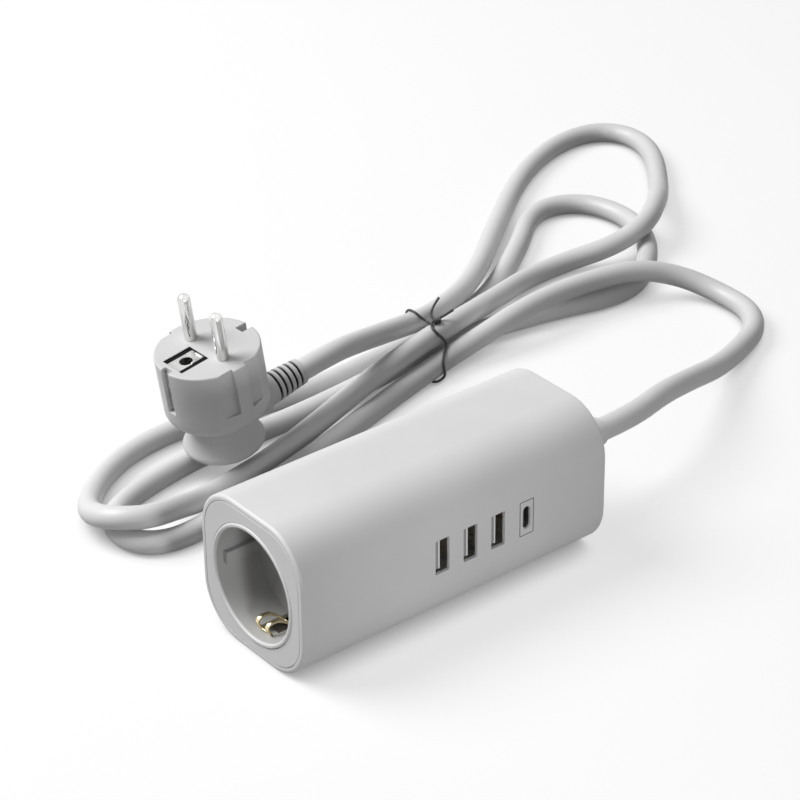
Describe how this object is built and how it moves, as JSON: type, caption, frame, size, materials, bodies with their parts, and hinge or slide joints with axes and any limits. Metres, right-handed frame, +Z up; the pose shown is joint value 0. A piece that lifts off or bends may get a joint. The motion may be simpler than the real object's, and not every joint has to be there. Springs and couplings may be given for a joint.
{
  "type": "desk charger",
  "caption": "Rounded box charger with a mains socket in its end, charging ports in its side and a tied mains cord with an angled plug.",
  "frame": {"origin": "middle of the flat underside of the housing, on the surface it stands on", "axes": "+Z up, +Y along the housing towards its cord end, +X towards the charging ports"},
  "size_m": [0.263, 0.3826, 0.0726],
  "materials": {
    "housing": "fine matt, light grey",
    "insulator": "matt, dark",
    "steel": "drawn sheet",
    "brass": "satin",
    "board": "solder mask",
    "component": "moulded",
    "ferrite": "sintered",
    "tape": "film tape",
    "fuse": "clear",
    "alloy": "extruded",
    "cord": "satin, grey",
    "pin": "polished",
    "live": "satin",
    "neutral": "satin",
    "earth": "satin",
    "tie": "coated wire"
  },
  "bodies": {
    "root": {"housing_sleeve": "housing", "front_cap": "housing", "socket_cup": "housing", "rear_cap": "housing", "rear_strain_relief": "housing", "usb_c_bezel": "housing", "contact_carrier": "insulator", "cord_clamp": "insulator", "usb_a_core_1": "insulator", "usb_a_core_2": "insulator", "usb_a_core_3": "insulator", "usb_c_core": "insulator", "carrier_screws": "steel", "cord_clamp_screws": "steel", "usb_a_shell_1": "steel", "usb_a_shell_2": "steel", "usb_a_shell_3": "steel", "usb_c_shell": "steel", "plug_earth_strip": "steel", "plug_earth_socket": "steel", "line_contact_left": "brass", "line_contact_right": "brass", "earth_strap": "brass", "usb_a_contacts_1": "brass", "usb_a_contacts_2": "brass", "usb_a_contacts_3": "brass", "usb_board": "board", "main_board": "board", "charge_controllers": "component", "bulk_capacitor_1": "component", "bulk_capacitor_2": "component", "output_capacitors": "component", "bridge_rectifier": "component", "switching_transistor": "component", "x_capacitor": "component", "transformer_core": "ferrite", "emi_choke": "ferrite", "transformer_winding": "tape", "fuse": "fuse", "heat_sink": "alloy", "cord": "cord", "cord_inner_end": "cord", "plug_body": "cord", "plug_pin_left": "pin", "plug_pin_right": "pin", "wire_live": "live", "board_lead_live": "live", "wire_neutral": "neutral", "board_lead_neutral": "neutral", "wire_earth": "earth", "cord_tie": "tie"}
  },
  "joints": []
}
